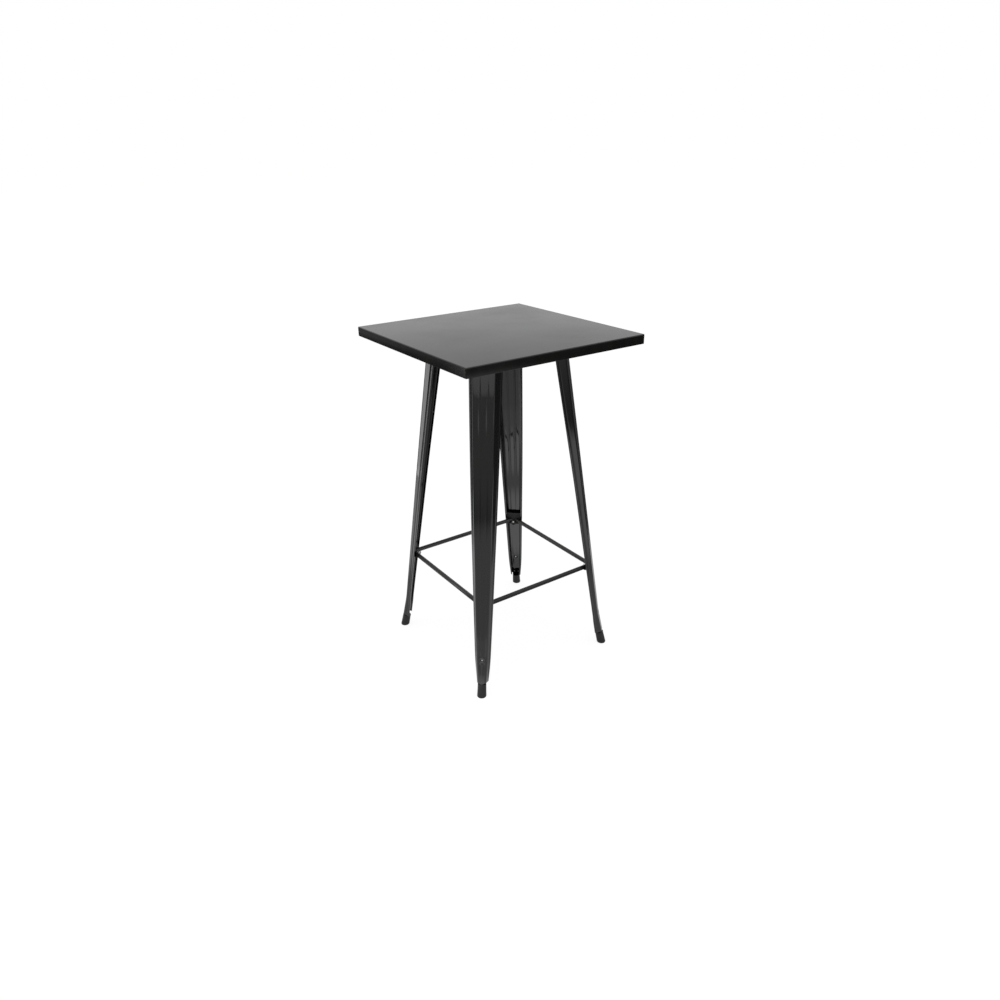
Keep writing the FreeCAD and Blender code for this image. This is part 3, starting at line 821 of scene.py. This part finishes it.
def nut():
    """A nut with both faces chamfered, round the bolt."""
    top, bottom = SHELF_BOTTOM, SHELF_BOTTOM - HEX_NUT
    bore = BOLT_RADIUS + NUT_GAP
    rings = [round_ring(bore, bottom + NUT_SINK_DEPTH), round_ring(bore + NUT_SINK_WIDTH, bottom),
             round_ring(HEX_CHAMFER_RADIUS, bottom),
             hex_ring(lambda radius: bottom + chamfer(radius)),
             hex_ring(lambda radius: top - chamfer(radius)),
             round_ring(HEX_CHAMFER_RADIUS, top), round_ring(bore, top)]
    points, faces = ring_faces(rings, False, False)
    last = (len(rings) - 1) * ROUND_STEPS
    for k in range(ROUND_STEPS):
        n = (k + 1) % ROUND_STEPS
        faces.append((last + k, last + n, n, k))
    return points, faces


def fasteners():
    """The four bolts as one piece, and the four nuts as another."""
    bolts = mesh_object("footrest_hex_bolts", *at_corners(bolt()), FASTENER_SMOOTH_ANGLE)
    nuts = mesh_object("footrest_hex_nuts", *at_corners(nut()), FASTENER_SMOOTH_ANGLE)
    adopt(bolts, "zinc_plate", "footrest_bolts")
    adopt(nuts, "frame_paint", "footrest_nuts")


# CAD nodes that keep their shape

def dress_cad_nodes():
    """Real finishes and finely rounded edges on the plates, brackets and rails."""
    for subpart in frame["record"]["subparts"]:
        node = frame["nodes"][subpart["node"]]
        node.data.materials.clear()
        node.data.materials.append(MATERIALS[subpart["material_slot"]])
        if not node.hide_render:
            bevelled(node, CAD_EDGE, CAD_EDGE_ANGLE)


# Studio

CAMERA_PLACE = (-1.268, -1.839, 1.536)
CAMERA_YAW = 55.355
CAMERA_PITCH = 24.757
CAMERA_ROLL = -0.80
CAMERA_LENS = 27.627
CAMERA_SENSOR = 36

# (name, place, target, size, power)
LIGHTS = [("side", (-1.6, 0.95, 0.5), (0, 0.95, 0.5), (0.5, 0.9), 2.7),
          ("overhead", (-0.4, -0.4, 3.2), (0, 0, 0.6), (3.1, 3.1), 30)]

WORLD_GREY = 0.75
FLOOR_HALF = 40
FLOOR_GREY = 0.85
FLOOR_ROUGHNESS = 0.9
FLOOR_WHITE = 1.1
FLOOR_WHITE_SHARE = 0.8

# What gloss sees of the world, by the height of a direction: (height, grey)
HORIZON = [(0.0, 0.6), (0.08, 0.76), (0.26, 0.8), (0.5, 1.0)]
# What gloss sees of the floor is painted: a painted dark level everywhere, and painted pools
# of light on it as (centre, radius of full light, radius where it ends, level)
PAINTED_DARK_FLOOR_GLOSS = 0.05
PAINTED_LIGHT_POOLS = [((0, 0, 0), 0.8, 1.1, 0.5), ((0, 0, 0), 0.15, 0.35, 0.95),
         ((-0.42, -0.27, 0), 0.1, 0.32, 0.9), ((-1.0, -1.3, 0), 1.2, 2.4, 0.42),
         ((-6, -6.5, 0), 5, 7, 0.2), ((-14, -17, 0), 17, 22, 0.25), ((-8, -16, 0), 4, 8, 0.6),
         ((0.5, -1.3, 0), 0.25, 0.6, 0.75), ((0.5, -2.4, 0), 0.6, 1.3, 0.75),
         ((-1.2, 0.8, 0), 0.5, 0.9, 1.2), ((-2.8, 5.6, 0), 0.8, 2.9, 0.25)]


def add_camera():
    """The camera, fitted to the photograph."""
    yaw, pitch, roll = (math.radians(a) for a in (CAMERA_YAW, CAMERA_PITCH, CAMERA_ROLL))
    ahead = Vector((math.cos(yaw) * math.cos(pitch), math.sin(yaw) * math.cos(pitch),
                    -math.sin(pitch)))
    right = Vector((math.sin(yaw), -math.cos(yaw), 0))
    up = right.cross(ahead)
    rolled_right = right * math.cos(roll) + up * math.sin(roll)
    rolled_up = up * math.cos(roll) - right * math.sin(roll)
    data = bpy.data.cameras.new("camera")
    data.sensor_width = CAMERA_SENSOR
    data.lens = CAMERA_LENS
    camera = bpy.data.objects.new("camera", data)
    axes = Matrix((rolled_right, rolled_up, -ahead)).transposed().to_4x4()
    camera.matrix_world = Matrix.Translation(CAMERA_PLACE) @ axes
    bpy.context.scene.collection.objects.link(camera)
    bpy.context.scene.camera = camera


def add_light(name, place, target, size, energy):
    """A soft rectangular lamp that the camera doesn't see."""
    data = bpy.data.lights.new(name, "AREA")
    data.shape = "RECTANGLE"
    data.size, data.size_y = size
    data.energy = energy
    light = bpy.data.objects.new(name, data)
    light.location = place
    light.rotation_euler = (Vector(target) - Vector(place)).to_track_quat("-Z", "Y").to_euler()
    light.visible_camera = False
    bpy.context.scene.collection.objects.link(light)


def calculated(nodes, links, operation, first, second):
    """A Math node over sockets or numbers."""
    node = nodes.new("ShaderNodeMath")
    node.operation = operation
    for socket, value in zip(node.inputs, (first, second)):
        if isinstance(value, bpy.types.NodeSocket):
            links.new(value, socket)
        else:
            socket.default_value = value
    return node.outputs[0]


def reflected(nodes, links):
    """The Light Path node, and whether a ray comes from gloss or through glass."""
    path = nodes.new("ShaderNodeLightPath")
    return path, calculated(nodes, links, "MAXIMUM", path.outputs["Is Glossy Ray"],
                            path.outputs["Is Transmission Ray"])


def ramped(nodes, links, source, stops):
    """A grey from a value, straight between stops of (value, grey)."""
    ramp = nodes.new("ShaderNodeValToRGB")
    points = ramp.color_ramp.elements
    while len(points) < len(stops):
        points.new(0.5)
    for point, (place, grey) in zip(points, stops):
        point.position = place
        point.color = (grey, grey, grey, 1)
    links.new(source, ramp.inputs["Fac"])
    return ramp.outputs["Color"]


def add_world():
    """Plain soft light all round: white to the camera, and pale to gloss."""
    world = bpy.data.worlds.new("studio")
    bpy.context.scene.world = world
    world.use_nodes = True
    nodes, links = world.node_tree.nodes, world.node_tree.links
    background = nodes["Background"]
    background.inputs["Strength"].default_value = 1.0
    path, gloss = reflected(nodes, links)
    height = nodes.new("ShaderNodeSeparateXYZ")
    links.new(nodes.new("ShaderNodeTexCoord").outputs["Generated"], height.inputs[0])
    walls = ramped(nodes, links, height.outputs["Z"], HORIZON)
    lit = blended(nodes, links, gloss, (WORLD_GREY, WORLD_GREY, WORLD_GREY), walls)
    seen = blended(nodes, links, path.outputs["Is Camera Ray"], lit, (1, 1, 1))
    links.new(seen, background.inputs["Color"])


def painted_light_pool(nodes, links, place, centre, near, far):
    """A painted pool of light: 1 on the floor near a point, falling smoothly to 0."""
    apart = nodes.new("ShaderNodeVectorMath")
    apart.operation = "DISTANCE"
    links.new(place, apart.inputs[0])
    apart.inputs[1].default_value = centre
    return ranged(nodes, links, apart.outputs["Value"], near, far, 1.0, 0.0, "SMOOTHSTEP")


def add_floor():
    """A plain pale floor: white to the camera but for a faint shadow; to gloss, painted dark with
    painted pools of light.
    """
    corners = [(-FLOOR_HALF, -FLOOR_HALF, 0), (FLOOR_HALF, -FLOOR_HALF, 0),
               (FLOOR_HALF, FLOOR_HALF, 0), (-FLOOR_HALF, FLOOR_HALF, 0)]
    mesh = bpy.data.meshes.new("floor")
    mesh.from_pydata(corners, [], [(0, 1, 2, 3)])
    floor = bpy.data.objects.new("floor", mesh)
    bpy.context.scene.collection.objects.link(floor)
    material = bpy.data.materials.new("pale_floor")
    material.use_nodes = True
    nodes, links = material.node_tree.nodes, material.node_tree.links
    shader = nodes["Principled BSDF"]
    shader.inputs["Base Color"].default_value = (FLOOR_GREY, FLOOR_GREY, FLOOR_GREY, 1)
    shader.inputs["Roughness"].default_value = FLOOR_ROUGHNESS
    shader.inputs["Specular IOR Level"].default_value = 0.0
    path, gloss = reflected(nodes, links)
    white = nodes.new("ShaderNodeEmission")
    white.inputs["Strength"].default_value = FLOOR_WHITE
    lit = nodes.new("ShaderNodeMixShader")
    white_share = calculated(nodes, links, "MULTIPLY", path.outputs["Is Camera Ray"],
                             FLOOR_WHITE_SHARE)
    links.new(white_share, lit.inputs[0])
    links.new(shader.outputs[0], lit.inputs[1])
    links.new(white.outputs[0], lit.inputs[2])
    place = nodes.new("ShaderNodeNewGeometry").outputs["Position"]
    # Gloss sees a painted dark floor here, with painted pools of light on it
    strength = PAINTED_DARK_FLOOR_GLOSS
    for centre, near, far, level in PAINTED_LIGHT_POOLS:
        spread = painted_light_pool(nodes, links, place, centre, near, far)
        light = calculated(nodes, links, "MULTIPLY", spread, level)
        strength = calculated(nodes, links, "MAXIMUM", light, strength)
    pools = nodes.new("ShaderNodeEmission")
    links.new(strength, pools.inputs["Strength"])
    mix = nodes.new("ShaderNodeMixShader")
    links.new(gloss, mix.inputs[0])
    links.new(lit.outputs[0], mix.inputs[1])
    links.new(pools.outputs[0], mix.inputs[2])
    links.new(mix.outputs[0], nodes["Material Output"].inputs["Surface"])
    mesh.materials.append(material)


top_pan()
legs()
foot_caps()
rods()
fasteners()
dress_cad_nodes()
add_camera()
add_world()
add_floor()
for light in LIGHTS:
    add_light(*light)
bpy.context.scene.view_settings.view_transform = "Standard"
